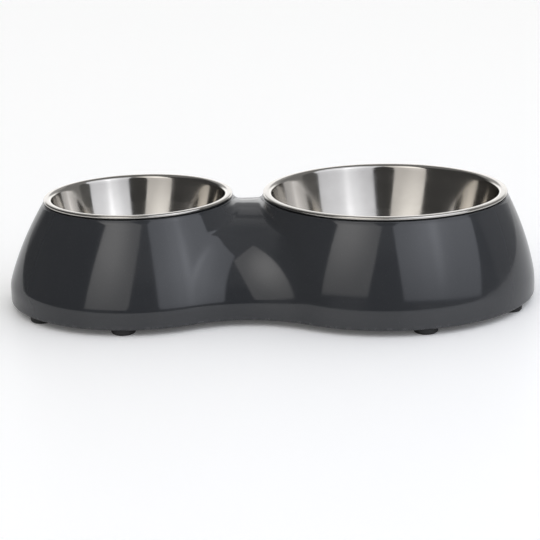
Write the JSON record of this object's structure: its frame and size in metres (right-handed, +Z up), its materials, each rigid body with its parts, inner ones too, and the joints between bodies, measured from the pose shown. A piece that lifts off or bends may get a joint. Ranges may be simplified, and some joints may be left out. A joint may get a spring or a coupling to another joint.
{
  "type": "double pet bowl",
  "caption": "Double pet bowl: a glossy moulded stand in the shape of a figure eight, with a large and a small steel bowl that lift out, on rubber feet.",
  "frame": {"origin": "centre of the footprint, at the level of the feet's bottoms", "axes": "+X along the long axis, from the small bowl to the large bowl; +Y to the back; +Z up"},
  "size_m": [0.3041, 0.1728, 0.0615],
  "materials": {
    "melamine": "glossy charcoal, moulded",
    "steel": "polished stainless, drawn",
    "rubber": "matt black"
  },
  "bodies": {
    "stand": {"stand_shell": "melamine", "foot_small_outer_front": "rubber", "foot_small_outer_back": "rubber", "foot_small_inner_front": "rubber", "foot_small_inner_back": "rubber", "foot_large_inner_front": "rubber", "foot_large_inner_back": "rubber", "foot_large_outer_front": "rubber", "foot_large_outer_back": "rubber"},
    "large_bowl": {"large_bowl": "steel"},
    "small_bowl": {"small_bowl": "steel"}
  },
  "joints": [
    {"name": "large_bowl_lift", "type": "slide", "parent": "stand", "child": "large_bowl", "axis": [0, 0, 1], "range_m": [0, 0.06]},
    {"name": "small_bowl_lift", "type": "slide", "parent": "stand", "child": "small_bowl", "axis": [0, 0, 1], "range_m": [0, 0.05]}
  ]
}
